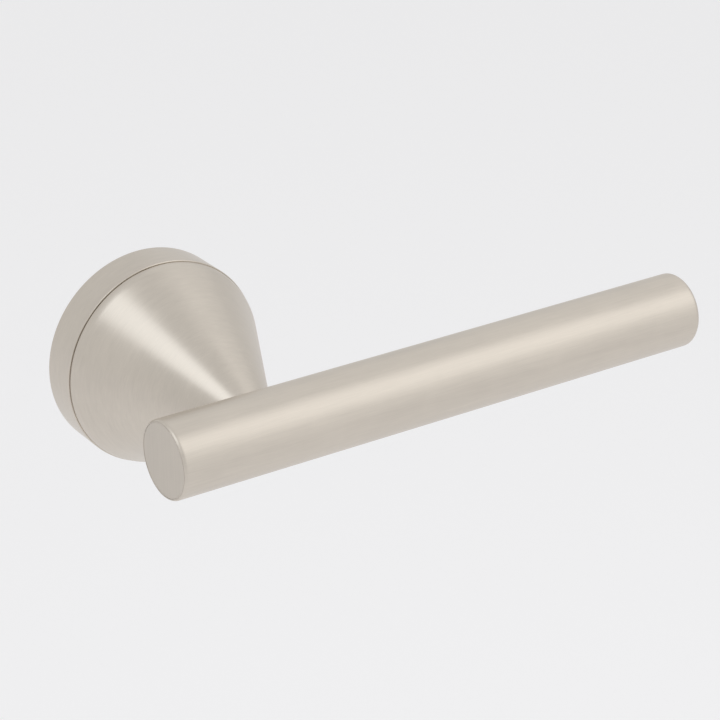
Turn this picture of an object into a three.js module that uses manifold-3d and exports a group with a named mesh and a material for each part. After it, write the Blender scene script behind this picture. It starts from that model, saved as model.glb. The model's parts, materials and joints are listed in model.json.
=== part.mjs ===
// A door lever handle: a round bar on a conical neck, turning on a sprung round rose.
// Millimetres. X runs along the bar, Z is up, and the door's face is the plane y = 0, with the
// handle on its -Y side. The origin is where the spindle's axis meets the door's face.
// Turned pieces are drawn as [radius, out] pairs, where out is the distance out from the door.
import * as THREE from "three";
import { mergeVertices } from "three/addons/utils/BufferGeometryUtils.js";
import Module from "manifold-3d";

const wasm = await Module();
wasm.setup();

// ---- driving dimensions ----
const FIT = 0.1; // clearance between pieces that are pressed, screwed or laid together
const RUNNING = 0.15; // radial clearance where the lever turns on the rose

const BAR = { radius: 9.5, wall: 1.5, near: -26.3, far: 123.2, out: 55, bevel: 0.4 };
const CAP = { radius: 8.85, thickness: 1.2, spigotRadius: 7.8, spigotLength: 5, recess: 0.05, edge: 0.15 };
const SEAM = { out: 10, gap: 0.3 }; // the joint between the rose ring and the neck
const RING = { radius: 26, bore: 24.2, lipBore: 21.5, lipThickness: 2.3, bevel: 0.3 };
const NECK = {
  radius: 25.68,
  bevel: 0.2,
  shoulder: 5.8, // radius of the rounded shoulder between the rim and the cone
  shoulderOut: 9.92, // where the shoulder's arc would be at its widest, just behind the rim
  halfAngle: THREE.MathUtils.degToRad(27.1),
  rimBore: 23.6,
  cavityFloor: 32, // the hollow ends here, and the nose beyond it is solid
  hubRadius: 11,
  hubFace: 12.9,
  wall: 2.3, // across the cone's wall, square to the spindle's axis
  boltSeat: 40.4,
};
const SPINDLE = { side: 7.9, hole: 8.1, front: 33.4, back: -28, bevel: 0.8 };
const SLEEVE = { radius: 8, back: 9.7, front: 34 }; // the square-holed insert in the neck
const GRUB = { out: 24, radius: 3, length: 7, key: 3 };
const NECK_BOLT = { shank: 3, head: 5, headHeight: 6, key: 5, tip: 59 };
const ANCHOR = { radius: 7.8, halfLength: 10, threadDepth: 61 };
const PLATE = {
  radius: 23.9,
  front: 7.25,
  webFront: 2.7,
  webBore: 8.9,
  clipBore: 12,
  clipDepth: 1.5,
  pocketRadius: 13.2,
  wallRadius: 14.7,
  wallTop: 9.5,
  grooveFloor: 22.9,
};
const COVER = { top: 10.7, bore: 9.9, screwReach: 16.6, lugRadius: 3.2, screwRadius: 1.25 };
const BUSH = { flangeRadius: 12, flangeTop: 11.7 };
const DRIVER = { journal: 8.7, hub: 8.4, flange: 12, tabRadius: 12.9, flangeBack: 8.2, flangeTop: 9.2 };
const SPRING = { radius: 10.75, wire: 0.75, turns: 2.75, back: 3.8, front: 7.1, backLeg: 180, legHole: 1.05 };
const LEVER_TRAVEL = 45; // degrees that the free end turns down from rest
const TAB_HALF_WIDTH = 15; // degrees, of the driver's tabs
const STOP_WIDTH = 20; // degrees, of the stops that the tabs meet
const STOP_GAP = 0.5; // degrees of play at each end of the travel
const POST = { reach: 19, radius: 3.2, head: 4.05, headThickness: 1.9, thread: 1.65, back: -6.5 };
const WOOD_SCREW = { reach: 19, radius: 1.9, sink: 3.8 };
const CLIP = { inner: 8.1, outer: 10.6, back: 0.45, front: 1.35, lug: 1.7 };

// ---- finishes ----
function finish(color, roughness, metalness) {
  return new THREE.MeshStandardMaterial({ color, roughness, metalness });
}

const SATIN_NICKEL = finish(0xc9c0b4, 0.34, 1);
const CAST_ZINC = finish(0x9c9c9a, 0.55, 1);
const STEEL = finish(0xb9bbbd, 0.35, 1);
const DARK_STEEL = finish(0x4a4a4c, 0.45, 1);
const SPRING_STEEL = finish(0x8a8680, 0.3, 1);
const ACETAL = finish(0xe9e7e0, 0.5, 0);
const RUBBER = finish(0x1c1c1c, 0.8, 0);

// ---- solids from three.js geometry ----
const TINY = 1e-4;

// A closed three.js geometry as a solid, with its shared corners merged.
function solid(geometry) {
  const bare = geometry.clone();
  bare.deleteAttribute("normal");
  bare.deleteAttribute("uv");
  const merged = mergeVertices(bare, TINY);
  const kept = [];
  for (let i = 0; i < merged.index.count; i += 3) {
    const [a, b, c] = [0, 1, 2].map((k) => merged.index.getX(i + k));
    if (a !== b && b !== c && c !== a) kept.push(a, b, c);
  }
  const vertProperties = new Float32Array(merged.attributes.position.array);
  return new wasm.Manifold(new wasm.Mesh({ numProp: 3, vertProperties, triVerts: new Uint32Array(kept) }));
}

const join = (first, ...others) => others.reduce((sum, other) => sum.add(other), first);
const cut = (first, ...others) => others.reduce((rest, other) => rest.subtract(other), first);

function mesh(name, body, material) {
  const { numProp, numVert, vertProperties, triVerts } = body.getMesh();
  const points = new Float32Array(numVert * 3);
  for (let i = 0; i < numVert; i++) {
    points.set(vertProperties.subarray(i * numProp, i * numProp + 3), i * 3);
  }
  const geometry = new THREE.BufferGeometry();
  geometry.setAttribute("position", new THREE.BufferAttribute(points, 3));
  geometry.setIndex(new THREE.BufferAttribute(triVerts, 1));
  geometry.computeVertexNormals();
  const made = new THREE.Mesh(geometry, material);
  made.name = name;
  return made;
}

// Twice the signed area of an outline, positive when it runs anticlockwise.
const winding = (points) =>
  points.reduce((sum, [x, y], i) => {
    const [nextX, nextY] = points[(i + 1) % points.length];
    return sum + x * nextY - nextX * y;
  }, 0);

// A closed outline of [radius, out] pairs turned about the spindle's axis.
function turned(outline, segments = 40, firstAngle = 0) {
  const points = winding(outline) > 0 ? [...outline].reverse() : outline;
  const loop = [...points, points[0]].map(([radius, out]) => new THREE.Vector2(radius, -out));
  return solid(new THREE.LatheGeometry(loop, segments, firstAngle));
}

// The same, turned about the bar's axis, with [radius, x] pairs.
function turnedAlongBar(outline, segments = 56) {
  const points = winding(outline) > 0 ? outline : [...outline].reverse();
  const loop = [...points, points[0]].map(([radius, x]) => new THREE.Vector2(radius, x));
  const geometry = new THREE.LatheGeometry(loop, segments);
  return solid(geometry.rotateZ(-Math.PI / 2).translate(0, -BAR.out, 0));
}

// A round bar along the spindle's axis, between two distances out from the door.
function rod(radius, from, to, x = 0, z = 0, segments = 20) {
  const geometry = new THREE.CylinderGeometry(radius, radius, to - from, segments);
  return solid(geometry.translate(x, -(from + to) / 2, z));
}

// A countersink or taper along the spindle's axis.
function taper(backRadius, frontRadius, from, to, x = 0, z = 0, segments = 20) {
  const geometry = new THREE.CylinderGeometry(backRadius, frontRadius, to - from, segments);
  return solid(geometry.translate(x, -(from + to) / 2, z));
}

function squareBar(side, from, to) {
  return solid(new THREE.BoxGeometry(side, to - from, side).translate(0, -(from + to) / 2, 0));
}

// An outline in the plane of the door, as [x, z] pairs, between two distances out.
function plateOf(shape, from, to, curveSegments = 12) {
  const geometry = new THREE.ExtrudeGeometry(shape, { depth: to - from, bevelEnabled: false, curveSegments });
  return solid(geometry.rotateX(Math.PI / 2).translate(0, -from, 0));
}

// Part of a ring, from one angle to another in degrees, anticlockwise from +X towards +Z.
function sector(inner, outer, fromDegrees, toDegrees, from, to) {
  const [start, end] = [fromDegrees, toDegrees].map(THREE.MathUtils.degToRad);
  const shape = new THREE.Shape();
  shape.absarc(0, 0, outer, start, end, false);
  shape.absarc(0, 0, inner, end, start, true);
  return plateOf(shape, from, to, 6);
}

const around = (reach, degrees) => {
  const angle = THREE.MathUtils.degToRad(degrees);
  return [reach * Math.cos(angle), reach * Math.sin(angle)];
};

// ---- the lever: bar, end caps, neck, and what turns with them ----
function leverBar() {
  const { radius, wall, near, far, bevel, out } = BAR;
  const bore = radius - wall;
  const seat = CAP.radius + FIT;
  const seatDepth = CAP.thickness + CAP.recess;
  const tube = turnedAlongBar([
    [bore, near + seatDepth],
    [seat, near + seatDepth],
    [seat, near],
    [radius - bevel, near],
    [radius, near + bevel],
    [radius, far - bevel],
    [radius - bevel, far],
    [seat, far],
    [seat, far - seatDepth],
    [bore, far - seatDepth],
  ]);
  const boltHole = rod(NECK_BOLT.shank + FIT, out - radius - 1, out - bore + 1);
  return cut(tube, boltHole);
}

// side is -1 for the end beside the neck and 1 for the free end.
function endCap(side) {
  const { radius, thickness, spigotRadius, spigotLength, recess, edge } = CAP;
  const face = side < 0 ? BAR.near + recess : BAR.far - recess;
  const inward = (depth) => face - side * depth;
  return turnedAlongBar(
    [
      [0, inward(0)],
      [radius - edge, inward(0)],
      [radius, inward(edge)],
      [radius, inward(thickness - FIT)],
      [spigotRadius, inward(thickness - FIT)],
      [spigotRadius, inward(spigotLength)],
      [0, inward(spigotLength)],
    ],
    40,
  );
}

// The neck's outside, from its rim to past the bar: a bevel, a rounded shoulder and a straight cone.
function neckOutside() {
  const { radius, bevel, shoulder, shoulderOut, halfAngle } = NECK;
  const rim = SEAM.out + SEAM.gap / 2;
  const firstAngle = Math.asin((rim + bevel - shoulderOut) / shoulder);
  const steps = 5;
  const outline = [[radius - bevel, rim]];
  for (let i = 0; i <= steps; i++) {
    const angle = firstAngle + ((halfAngle - firstAngle) * i) / steps;
    outline.push([radius - shoulder * (1 - Math.cos(angle)), shoulderOut + shoulder * Math.sin(angle)]);
  }
  const [coneRadius, coneOut] = outline.at(-1);
  outline.push([coneRadius - Math.tan(halfAngle) * (BAR.out - coneOut), BAR.out]);
  return outline;
}

function conicalNeck() {
  const rim = SEAM.out + SEAM.gap / 2;
  const outside = turned([[0, rim], ...neckOutside(), [0, BAR.out]], 64);
  const [coneRadius, coneOut] = neckOutside().at(-2);
  const insideRadius = (out) => coneRadius - Math.tan(NECK.halfAngle) * (out - coneOut) - NECK.wall;
  const hollow = turned([
    [0, rim - 1],
    [NECK.rimBore, rim - 1],
    [NECK.rimBore, rim + 1],
    [insideRadius(coneOut + 2), coneOut + 2],
    [insideRadius(NECK.cavityFloor), NECK.cavityFloor],
    [NECK.hubRadius, NECK.cavityFloor],
    [NECK.hubRadius, NECK.hubFace],
    [0, NECK.hubFace],
  ]);
  const sleeveBore = rod(SLEEVE.radius + FIT, 0, SLEEVE.front + FIT, 0, 0, 40);
  const boltHeadBore = rod(NECK_BOLT.head + FIT, 0, NECK.boltSeat);
  const boltHole = rod(NECK_BOLT.shank + FIT, 0, BAR.out);
  const saddle = solid(
    new THREE.CylinderGeometry(BAR.radius + FIT, BAR.radius + FIT, 60, 56)
      .rotateZ(Math.PI / 2)
      .translate(0, -BAR.out, 0),
  );
  return cut(outside, hollow, sleeveBore, boltHeadBore, boltHole, saddle, grubHole());
}

// The hole under the neck through which the grub screw and its key go in.
function grubHole() {
  const reach = 30;
  const geometry = new THREE.CylinderGeometry(GRUB.radius + FIT, GRUB.radius + FIT, reach, 24);
  return solid(geometry.rotateX(Math.PI / 2).translate(0, -GRUB.out, -reach / 2));
}

function hubSleeve() {
  const { radius, back, front } = SLEEVE;
  const edge = 0.5;
  const body = turned([
    [0, back],
    [radius - edge, back],
    [radius, back + edge],
    [radius, front],
    [0, front],
  ]);
  return cut(body, squareBar(SPINDLE.hole, back - 1, front + 1), grubHole());
}

function spindle() {
  const { side, front, back, bevel } = SPINDLE;
  const corner = side / Math.SQRT2;
  const tipCorner = corner - bevel * Math.SQRT2;
  const outline = [
    [0, back],
    [tipCorner, back],
    [corner, back + bevel],
    [corner, front],
    [0, front],
  ];
  return turned(outline, 4, Math.PI / 4);
}

// A hexagon socket sunk into the end of a screw.
const hexSocket = (acrossFlats, from, to) => rod(acrossFlats / Math.sqrt(3), from, to, 0, 0, 6);

function grubScrew() {
  const { radius, length, key, out } = GRUB;
  const socketDepth = 3;
  const edge = 0.5;
  const body = turned(
    [
      [0, 0],
      [radius - edge, 0],
      [radius, edge],
      [radius, length - edge],
      [radius - edge, length],
      [0, length],
    ],
    24,
  );
  const made = mesh("grub_screw", cut(body, hexSocket(key, length - socketDepth, length + 1)), DARK_STEEL);
  made.rotation.x = Math.PI / 2; // its socket faces down, away from the spindle
  made.position.set(0, -out, -SPINDLE.side / 2 - FIT);
  return made;
}

function neckBolt() {
  const { shank, head, headHeight, key, tip } = NECK_BOLT;
  const seat = NECK.boltSeat - FIT;
  const socketDepth = 3;
  const edge = 0.5;
  const body = turned(
    [
      [0, seat - headHeight],
      [head - edge, seat - headHeight],
      [head, seat - headHeight + edge],
      [head, seat],
      [shank, seat],
      [shank, tip - edge],
      [shank - edge, tip],
      [0, tip],
    ],
    24,
  );
  return cut(body, hexSocket(key, seat - headHeight - 1, seat - headHeight + socketDepth));
}

// A plug inside the bar that the neck's bolt screws into.
function barAnchor() {
  const { radius, halfLength, threadDepth } = ANCHOR;
  const body = turnedAlongBar(
    [
      [0, -halfLength],
      [radius, -halfLength],
      [radius, halfLength],
      [0, halfLength],
    ],
    40,
  );
  return cut(body, rod(NECK_BOLT.shank + FIT, 40, threadDepth));
}

// The square-holed follower in the rose: it carries the spring, and its two tabs meet the rose's stops.
function springDriver() {
  const { journal, hub, flange, tabRadius, flangeBack, flangeTop } = DRIVER;
  const body = turned(
    [
      [0, 0.25],
      [journal, 0.25],
      [journal, CLIP.back - FIT],
      [CLIP.inner - FIT, CLIP.back - FIT],
      [CLIP.inner - FIT, CLIP.front + FIT],
      [journal, CLIP.front + FIT],
      [journal, PLATE.webFront],
      [hub, PLATE.webFront],
      [hub, flangeBack],
      [flange, flangeBack],
      [flange, flangeTop],
      [0, flangeTop],
    ],
    40,
  );
  const tabs = [90, 270].map((middle) =>
    sector(hub, tabRadius, middle - TAB_HALF_WIDTH, middle + TAB_HALF_WIDTH, flangeBack, flangeTop),
  );
  const [legX, legZ] = springLeg("front");
  const legHole = rod(SPRING.legHole, flangeBack - 1, flangeTop + 1, legX, legZ, 16);
  return cut(join(body, ...tabs), squareBar(SPINDLE.hole, -1, flangeTop + 1), legHole);
}

// An open ring that snaps into the driver's groove behind the rose, with an eyelet at each end.
function driverClip() {
  const { inner, outer, back, front, lug } = CLIP;
  const opening = 24;
  const ring = sector(inner, outer, -90 + opening, 270 - opening, back, front);
  const eyelets = [-90 + opening, 270 - opening].map((angle) => {
    const [x, z] = around((inner + outer) / 2 - 0.1, angle);
    return [rod(lug, back, front, x, z, 16), rod(0.6, back - 1, front + 1, x, z, 10)];
  });
  const groove = rod(inner, back - 1, front + 1, 0, 0, 40);
  return cut(join(ring, ...eyelets.map(([eye]) => eye)), groove, ...eyelets.map(([, hole]) => hole));
}

// ---- the rose: everything that stays on the door ----
function roseRing() {
  const { radius, bore, lipBore, lipThickness, bevel } = RING;
  const front = SEAM.out - SEAM.gap / 2;
  const edge = 0.3;
  return turned(
    [
      [bore, 0],
      [radius - edge, 0],
      [radius, edge],
      [radius, front - bevel],
      [radius - bevel, front],
      [lipBore, front],
      [lipBore, front - lipThickness],
      [bore, front - lipThickness],
    ],
    64,
  );
}

// A disc with rounded ears above and below it, for the two screws that hold the spring cover.
function earedDisc(radius, from, to) {
  const { screwReach, lugRadius } = COVER;
  const ears = [90, 270].map((angle) => {
    const [x, z] = around(screwReach, angle);
    return rod(lugRadius, from, to, x, z, 16);
  });
  return join(rod(radius, from, to, 0, 0, 40), ...ears);
}

function mountingPlate() {
  const { radius, front, webFront, webBore, clipBore, clipDepth, pocketRadius, wallRadius, wallTop } = PLATE;
  const grooveBack = 3.1;
  const grooveFront = 5.1;
  const disc = turned([
    [webBore, clipDepth],
    [clipBore, clipDepth],
    [clipBore, 0],
    [radius, 0],
    [radius, grooveBack],
    [PLATE.grooveFloor, grooveBack],
    [PLATE.grooveFloor, grooveFront],
    [radius, grooveFront],
    [radius, front],
    [pocketRadius, front],
    [pocketRadius, webFront],
    [webBore, webFront],
  ]);
  const pocket = rod(pocketRadius, front - 2, wallTop + 1, 0, 0, 40);
  const wall = cut(earedDisc(wallRadius, front - 1, wallTop), pocket);
  const stops = [0, 180].flatMap((half) => {
    const restStop = half + 90 + TAB_HALF_WIDTH + STOP_GAP;
    const endStop = half + 90 - TAB_HALF_WIDTH - STOP_GAP - LEVER_TRAVEL;
    return [
      sector(DRIVER.flange + RUNNING, pocketRadius + 0.4, restStop, restStop + STOP_WIDTH, 6, wallTop),
      sector(DRIVER.flange + RUNNING, pocketRadius + 0.4, endStop - STOP_WIDTH, endStop, 6, wallTop),
    ];
  });
  const [legX, legZ] = springLeg("back");
  const holes = [
    rod(SPRING.legHole, 0, webFront + 0.1, legX, legZ, 16),
    ...[90, 270].map((angle) => {
      const [x, z] = around(COVER.screwReach, angle);
      return rod(COVER.screwRadius + FIT, 4, wallTop + 1, x, z, 12);
    }),
    ...[0, 180].flatMap((angle) => {
      const [x, z] = around(POST.reach, angle);
      const headSeat = front - POST.headThickness;
      return [
        rod(POST.radius + FIT, -1, front + 1, x, z),
        rod(POST.head + FIT, headSeat, wallTop + 1, x, z),
      ];
    }),
    ...[45, 135, 225, 315].flatMap((angle) => {
      const [x, z] = around(WOOD_SCREW.reach, angle);
      const { radius: hole, sink } = WOOD_SCREW;
      const sinkBottom = front - (sink - hole);
      return [rod(hole, -1, front + 1, x, z, 12), taper(hole, sink, sinkBottom, front + 0.01, x, z, 12)];
    }),
  ];
  return cut(join(disc, wall, ...stops), ...holes, ...castPockets());
}

// Shallow pockets in the plate's back, which leave ribs between the screw bosses.
function castPockets() {
  const depth = 2.4;
  const inner = 15.6;
  const outer = 22;
  const gaps = [22.5, 67.5, 112.5, 157.5, 202.5, 247.5, 292.5, 337.5];
  const halfWidth = 7;
  return gaps.map((middle) => sector(inner, outer, middle - halfWidth, middle + halfWidth, -1, depth));
}

function springCover() {
  const { top, bore, screwReach, screwRadius } = COVER;
  const back = PLATE.wallTop + FIT;
  const screwHoles = [90, 270].map((angle) => {
    const [x, z] = around(screwReach, angle);
    return rod(screwRadius + FIT, back - 1, top + 1, x, z, 12);
  });
  const bushHole = rod(bore, back - 1, top + 1, 0, 0, 40);
  return cut(earedDisc(PLATE.wallRadius, back, top), bushHole, ...screwHoles);
}

function coverScrew(name, angle) {
  const { top, screwRadius } = COVER;
  const headRadius = 2.2;
  const headHeight = 1.4;
  const length = 5.5;
  const edge = 0.4;
  const slot = solid(new THREE.BoxGeometry(headRadius * 2.5, 1.4, 0.6).translate(0, -headHeight, 0));
  const body = turned(
    [
      [0, -length],
      [screwRadius, -length],
      [screwRadius, 0],
      [headRadius, 0],
      [headRadius, headHeight - edge],
      [headRadius - edge, headHeight],
      [0, headHeight],
    ],
    16,
  );
  const made = mesh(name, cut(body, slot), STEEL);
  const [x, z] = around(COVER.screwReach, angle);
  made.position.set(x, -(top + FIT), z);
  return made;
}

function bearingBush() {
  const back = PLATE.wallTop + FIT;
  const seat = COVER.top + FIT;
  const bore = SLEEVE.radius + RUNNING;
  return turned(
    [
      [bore, back],
      [COVER.bore - FIT, back],
      [COVER.bore - FIT, seat],
      [BUSH.flangeRadius, seat],
      [BUSH.flangeRadius, BUSH.flangeTop],
      [bore, BUSH.flangeTop],
    ],
    40,
  );
}

// A thin washer with three waves, which takes up the play between the bush and the neck.
function waveWasher() {
  const bore = 8.5;
  const rim = 10.8;
  const thickness = 0.4;
  const waves = 3;
  const height = 0.2;
  const back = BUSH.flangeTop + height + 0.05;
  const geometry = new THREE.LatheGeometry(
    [
      [bore, back],
      [bore, back + thickness],
      [rim, back + thickness],
      [rim, back],
      [bore, back],
    ].map(([radius, out]) => new THREE.Vector2(radius, -out)),
    36,
  );
  const points = geometry.attributes.position;
  for (let i = 0; i < points.count; i++) {
    const angle = Math.atan2(points.getZ(i), points.getX(i));
    points.setY(i, points.getY(i) + height * Math.sin(waves * angle));
  }
  return solid(geometry);
}

// A rubber ring between the plate's rim and the rose ring, which holds the ring on by friction.
function gripRing() {
  const radius = 0.5;
  const middle = (RING.bore + PLATE.grooveFloor) / 2;
  const geometry = new THREE.TorusGeometry(middle, radius, 6, 40);
  return solid(geometry.rotateX(Math.PI / 2).translate(0, -4.1, 0));
}

// Where the spring's two legs stand, in the plane of the door.
function springLeg(end) {
  const { radius, backLeg, turns } = SPRING;
  return around(radius, end === "back" ? backLeg : backLeg + 360 * turns);
}

// A curve through its points that is divided at those points, so that its short bends are kept.
class WirePath extends THREE.CatmullRomCurve3 {
  getPointAt(position, target) {
    return this.getPoint(position, target);
  }

  getTangentAt(position, target) {
    return this.getTangent(position, target);
  }
}

// A torsion spring: a leg into the plate's web, a helix round the driver's hub, and a leg into its flange.
function torsionSpring() {
  const { radius, wire, turns, back, front, backLeg } = SPRING;
  const stepsPerTurn = 16;
  const steps = Math.round(turns * stepsPerTurn);
  const helix = [];
  for (let i = 0; i <= steps; i++) {
    const [x, z] = around(radius, backLeg + (360 * turns * i) / steps);
    helix.push(new THREE.Vector3(x, -(back + ((front - back) * i) / steps), z));
  }
  const legPoint = (point, out) => new THREE.Vector3(point.x, -out, point.z);
  const legRise = 0.4;
  const points = [
    legPoint(helix[0], PLATE.webFront - 0.9),
    legPoint(helix[0], back - legRise),
    ...helix.slice(1, -1),
    legPoint(helix.at(-1), front + legRise),
    legPoint(helix.at(-1), DRIVER.flangeTop - 0.1),
  ];
  const corners = [0, 60, 120, 180, 240, 300].map((angle) => new THREE.Vector2(...around(wire, angle)));
  return solid(
    new THREE.ExtrudeGeometry(new THREE.Shape(corners), {
      steps: points.length - 1,
      extrudePath: new WirePath(points),
      bevelEnabled: false,
    }),
  );
}

// A threaded post that is held by its head in the plate and centres the rose in the door's drilling.
function threadedPost(name, angle) {
  const { radius, head, headThickness, thread, back, reach } = POST;
  const seat = PLATE.front - headThickness + FIT;
  const edge = 0.4;
  const bore = 12;
  const body = turned(
    [
      [thread, back],
      [radius - edge, back],
      [radius, back + edge],
      [radius, seat],
      [head, seat],
      [head, PLATE.front - 0.2],
      [0, PLATE.front - 0.2],
      [0, back + bore],
      [thread, back + bore],
    ],
    24,
  );
  const made = mesh(name, body, STEEL);
  const [x, z] = around(reach, angle);
  made.position.set(x, 0, z);
  return made;
}

// ---- the whole handle, at rest with the bar level ----
const lever = new THREE.Group();
lever.add(
  mesh("lever_bar", leverBar(), SATIN_NICKEL),
  mesh("near_end_cap", endCap(-1), SATIN_NICKEL),
  mesh("free_end_cap", endCap(1), SATIN_NICKEL),
  mesh("conical_neck", conicalNeck(), SATIN_NICKEL),
  mesh("neck_bolt", neckBolt(), DARK_STEEL),
  mesh("bar_anchor", barAnchor(), STEEL),
  mesh("hub_sleeve", hubSleeve(), STEEL),
  mesh("spindle", spindle(), STEEL),
  mesh("spring_driver", springDriver(), STEEL),
  mesh("driver_clip", driverClip(), DARK_STEEL),
  mesh("wave_washer", waveWasher(), SPRING_STEEL),
  grubScrew(),
);

const rose = new THREE.Group();
rose.add(
  mesh("rose_ring", roseRing(), SATIN_NICKEL),
  mesh("mounting_plate", mountingPlate(), CAST_ZINC),
  mesh("grip_ring", gripRing(), RUBBER),
  mesh("spring_cover", springCover(), STEEL),
  mesh("bearing_bush", bearingBush(), ACETAL),
  mesh("torsion_spring", torsionSpring(), SPRING_STEEL),
  coverScrew("cover_screw_top", 90),
  coverScrew("cover_screw_bottom", 270),
  threadedPost("threaded_post_right", 0),
  threadedPost("threaded_post_left", 180),
);

const handle = new THREE.Group();
handle.add(lever, rose);

export default handle;
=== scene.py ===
"""The looks of a door lever handle: a satin-nickel bar, neck and rose, and the works inside them.

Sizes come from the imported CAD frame, or are named here in millimetres. Turned pieces are drawn as
(radius, along, fillet) corners. Along is the distance out from the door, which is -Y, unless the
piece's place function says otherwise. A radius may be a function of (angle, along) where the
section isn't round.
"""

import json
import math

import bmesh
import bpy
from mathutils import Matrix, Vector


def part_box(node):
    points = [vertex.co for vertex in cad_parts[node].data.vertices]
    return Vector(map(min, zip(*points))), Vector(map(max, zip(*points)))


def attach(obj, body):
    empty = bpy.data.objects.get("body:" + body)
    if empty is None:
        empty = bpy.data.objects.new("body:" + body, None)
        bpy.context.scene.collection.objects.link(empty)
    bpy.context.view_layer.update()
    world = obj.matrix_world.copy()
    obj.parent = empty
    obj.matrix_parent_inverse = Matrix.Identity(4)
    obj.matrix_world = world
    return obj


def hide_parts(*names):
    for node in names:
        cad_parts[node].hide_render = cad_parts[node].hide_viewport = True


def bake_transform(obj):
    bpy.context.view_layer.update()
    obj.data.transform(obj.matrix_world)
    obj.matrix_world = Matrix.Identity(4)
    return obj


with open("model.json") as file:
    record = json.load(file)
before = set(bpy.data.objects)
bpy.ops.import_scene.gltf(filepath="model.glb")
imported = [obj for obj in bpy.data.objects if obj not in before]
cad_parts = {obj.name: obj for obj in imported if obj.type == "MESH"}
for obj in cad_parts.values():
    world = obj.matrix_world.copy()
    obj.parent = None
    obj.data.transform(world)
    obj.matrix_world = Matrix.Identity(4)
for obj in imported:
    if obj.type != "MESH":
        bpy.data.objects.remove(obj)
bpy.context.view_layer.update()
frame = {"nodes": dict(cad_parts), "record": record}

MM = 0.001
TURN = 2 * math.pi

# ---- sizes read from the frame, in millimetres ----


def box_mm(node):
    low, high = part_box(node)
    return low / MM, high / MM


def outs(node):
    """How far out from the door a node starts and ends."""
    low, high = box_mm(node)
    return -high.y, -low.y


bar_low, bar_high = box_mm("lever_bar")
BAR_RADIUS = (bar_high.z - bar_low.z) / 2
BAR_OUT = -(bar_low.y + bar_high.y) / 2
BAR_NEAR, BAR_FAR = bar_low.x, bar_high.x
cap_low, cap_high = box_mm("near_end_cap")
CAP_RADIUS = (cap_high.z - cap_low.z) / 2
RING_RADIUS = box_mm("rose_ring")[1].x
SEAM_FILL = 0.1  # the seam is narrower by this much on each side than the frame's clearance
RING_FRONT = outs("rose_ring")[1] + SEAM_FILL
NECK_BACK = outs("conical_neck")[0] - SEAM_FILL
PLATE_RADIUS = box_mm("mounting_plate")[1].x
POST_REACH = (box_mm("threaded_post_right")[0].x + box_mm("threaded_post_right")[1].x) / 2
SCREW_REACH = (box_mm("cover_screw_top")[0].z + box_mm("cover_screw_top")[1].z) / 2

# ---- driving dimensions of the finer shapes, in millimetres ----

FINE = 256  # segments round a large turned piece
MEDIUM = 128
SMALL = 64
FILLET_STEP = 18  # degrees, the most that a fillet turns from one point to the next
SHARP_ANGLE = 30  # degrees, above which an edge isn't smoothed

NECK = {"radius": 25.68, "bevel": 0.2, "shoulder": 5.8, "shoulder_out": 9.92, "wall": 2.3}
NECK_HALF_ANGLE = math.radians(27.1)
SADDLE_GAP = 0.06  # between the neck's end and the bar that lies in it
BOLT_HOLE = 3.1  # radius of the M6 bolt's way through the neck and into the bar's plug
GRUB_OUT = 24
SOCKET_HALF = 4.05  # half the side of the square holes that the spindle goes through
LID_RADIUS = 14.7  # the round part of the spring's lid and of the wall under it
LUG_RADIUS = 3.2  # the ears that hold the lid's screws
LID_SCREW_HOLE = 1.35
PLATE_FRONT = 7.25
WEB_FRONT = 2.7  # the floor of the spring's pocket in the plate
SPRING_REACH = 10.75  # from the spindle's axis to the middle of the wire
LEG_HOLE = 1.05
BACK_LEG, FRONT_LEG = 180, 90  # degrees, where the spring's two legs stand
TRAVEL = 45  # degrees from one stop to the other
TAB_HALF_WIDTH = 15  # degrees
STOP_PLAY = 0.5  # degrees
STOP_WIDTH = 20  # degrees

# ---- outlines ----


def ramp(value):
    return min(max(value, 0), 1)


def radius_at(shape, angle, along):
    return shape(angle, along) if callable(shape) else shape


def mean_radius(shape, along):
    samples = 48
    return sum(radius_at(shape, TURN * k / samples, along) for k in range(samples)) / samples


def rounded(corners, closed):
    """Points along an outline of corners, each as (corner's number, radius offset, along).

    A fillet becomes an arc, with a support point before and after it.
    """
    support = 0.35  # how far off those points are, as a share of the fillet
    flat = [Vector((mean_radius(corner[0], corner[1]), corner[1])) for corner in corners]
    points = []
    for i, (here, corner) in enumerate(zip(flat, corners)):
        fillet = corner[2] if len(corner) > 2 else 0
        at_end = not closed and i in (0, len(flat) - 1)
        if not fillet or at_end:
            points.append((i, 0, here.y))
            continue
        lead = (flat[i - 1] - here).normalized()
        trail = (flat[(i + 1) % len(flat)] - here).normalized()
        half = lead.angle(trail) / 2
        reach = fillet / math.tan(half)
        centre = (lead + trail).normalized() * fillet / math.sin(half)
        start = lead * reach - centre
        turn = math.pi - 2 * half
        steps = max(2, math.ceil(math.degrees(turn) / FILLET_STEP))
        side = math.copysign(1, start.cross(trail * reach - centre))
        angles = [side * turn * k / steps for k in range(steps + 1)]
        arc = [centre + Matrix.Rotation(angle, 2) @ start for angle in angles]
        before = lead * (reach + fillet * support)
        after = trail * (reach + fillet * support)
        points += [(i, offset.x, here.y + offset.y) for offset in (before, *arc, after)]
    return points


def square(half, corner):
    """The section of a square hole or bar, with its corners taken off by this much."""

    def section(angle, along):
        side = half / max(abs(math.cos(angle)), abs(math.sin(angle)))
        return min(side, half * math.sqrt(2) - corner)

    return section


def hexagon(across_flats):
    def section(angle, along):
        sixth = TURN / 6
        return across_flats / 2 / math.cos((angle + sixth / 2) % sixth - sixth / 2)

    return section


def bumps(plain, raised, spans):
    """A round section whose radius changes to another over some spans, given in degrees."""
    flank = 0.6  # degrees from the one radius to the other

    def section(angle, along):
        here = math.degrees(angle)
        share = 0
        for start, end in spans:
            inside = (here - start) % 360
            width = end - start
            share = max(share, ramp(inside / flank) * ramp((width - inside) / flank))
        return plain + (raised - plain) * share

    return section


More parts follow.
